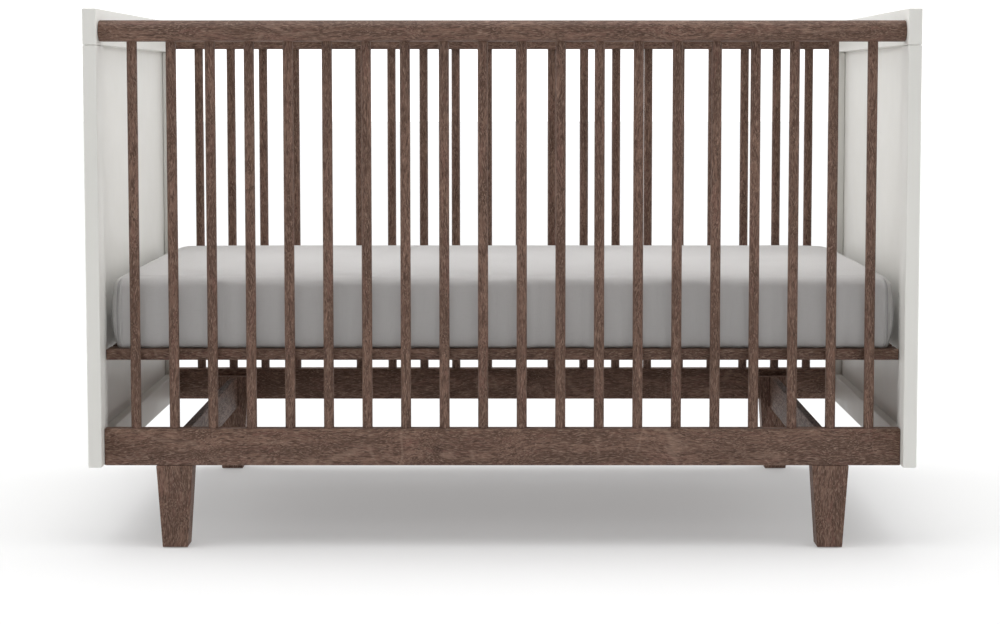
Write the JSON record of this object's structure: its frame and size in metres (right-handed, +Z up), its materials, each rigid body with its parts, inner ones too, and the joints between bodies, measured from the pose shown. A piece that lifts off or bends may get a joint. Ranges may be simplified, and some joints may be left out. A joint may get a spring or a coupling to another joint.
{
  "type": "baby crib",
  "caption": "Full-size crib with framed painted ends, fixed sides of round spindles, four tapered legs, a slatted support set by height and a mattress in a fitted sheet",
  "frame": {"origin": "on the floor, under the middle of the crib", "axes": "+X along the crib's length, towards its right-hand end; -Y out of its front side; +Z up"},
  "size_m": [1.376, 0.808, 0.9],
  "materials": {
    "painted_wood": "satin",
    "stained_wood": "matte",
    "mattress_ticking": "matte",
    "sheet_cotton": "matte"
  },
  "bodies": {
    "crib_frame": {"left_end_frame": "painted_wood", "left_end_cap_rail": "painted_wood", "left_end_panel": "painted_wood", "right_end_frame": "painted_wood", "right_end_cap_rail": "painted_wood", "right_end_panel": "painted_wood", "front_top_rail": "stained_wood", "front_bottom_rail": "stained_wood", "back_top_rail": "stained_wood", "back_bottom_rail": "stained_wood", "front_left_leg": "stained_wood", "front_right_leg": "stained_wood", "back_left_leg": "stained_wood", "back_right_leg": "stained_wood", "left_stretcher": "stained_wood", "right_stretcher": "stained_wood", "front_spindle_01": "stained_wood", "front_spindle_02": "stained_wood", "front_spindle_03": "stained_wood", "front_spindle_04": "stained_wood", "front_spindle_05": "stained_wood", "front_spindle_06": "stained_wood", "front_spindle_07": "stained_wood", "front_spindle_08": "stained_wood", "front_spindle_09": "stained_wood", "front_spindle_10": "stained_wood", "front_spindle_11": "stained_wood", "front_spindle_12": "stained_wood", "front_spindle_13": "stained_wood", "front_spindle_14": "stained_wood", "front_spindle_15": "stained_wood", "front_spindle_16": "stained_wood", "front_spindle_17": "stained_wood", "front_spindle_18": "stained_wood", "front_spindle_19": "stained_wood", "front_spindle_20": "stained_wood", "back_spindle_01": "stained_wood", "back_spindle_02": "stained_wood", "back_spindle_03": "stained_wood", "back_spindle_04": "stained_wood", "back_spindle_05": "stained_wood", "back_spindle_06": "stained_wood", "back_spindle_07": "stained_wood", "back_spindle_08": "stained_wood", "back_spindle_09": "stained_wood", "back_spindle_10": "stained_wood", "back_spindle_11": "stained_wood", "back_spindle_12": "stained_wood", "back_spindle_13": "stained_wood", "back_spindle_14": "stained_wood", "back_spindle_15": "stained_wood", "back_spindle_16": "stained_wood", "back_spindle_17": "stained_wood", "back_spindle_18": "stained_wood", "back_spindle_19": "stained_wood", "back_spindle_20": "stained_wood"},
    "mattress_support": {"mattress_support_frame": "stained_wood", "mattress_slat_deck": "stained_wood"},
    "mattress_body": {"mattress": "mattress_ticking", "fitted_sheet": "sheet_cotton"}
  },
  "joints": [
    {"name": "mattress_height", "type": "slide", "parent": "crib_frame", "child": "mattress_support", "axis": [0, 0, 1], "range_m": [-0.115, 0.1]},
    {"name": "mattress_lift", "type": "slide", "parent": "mattress_support", "child": "mattress_body", "axis": [0, 0, 1], "range_m": [0, 0.5]}
  ]
}
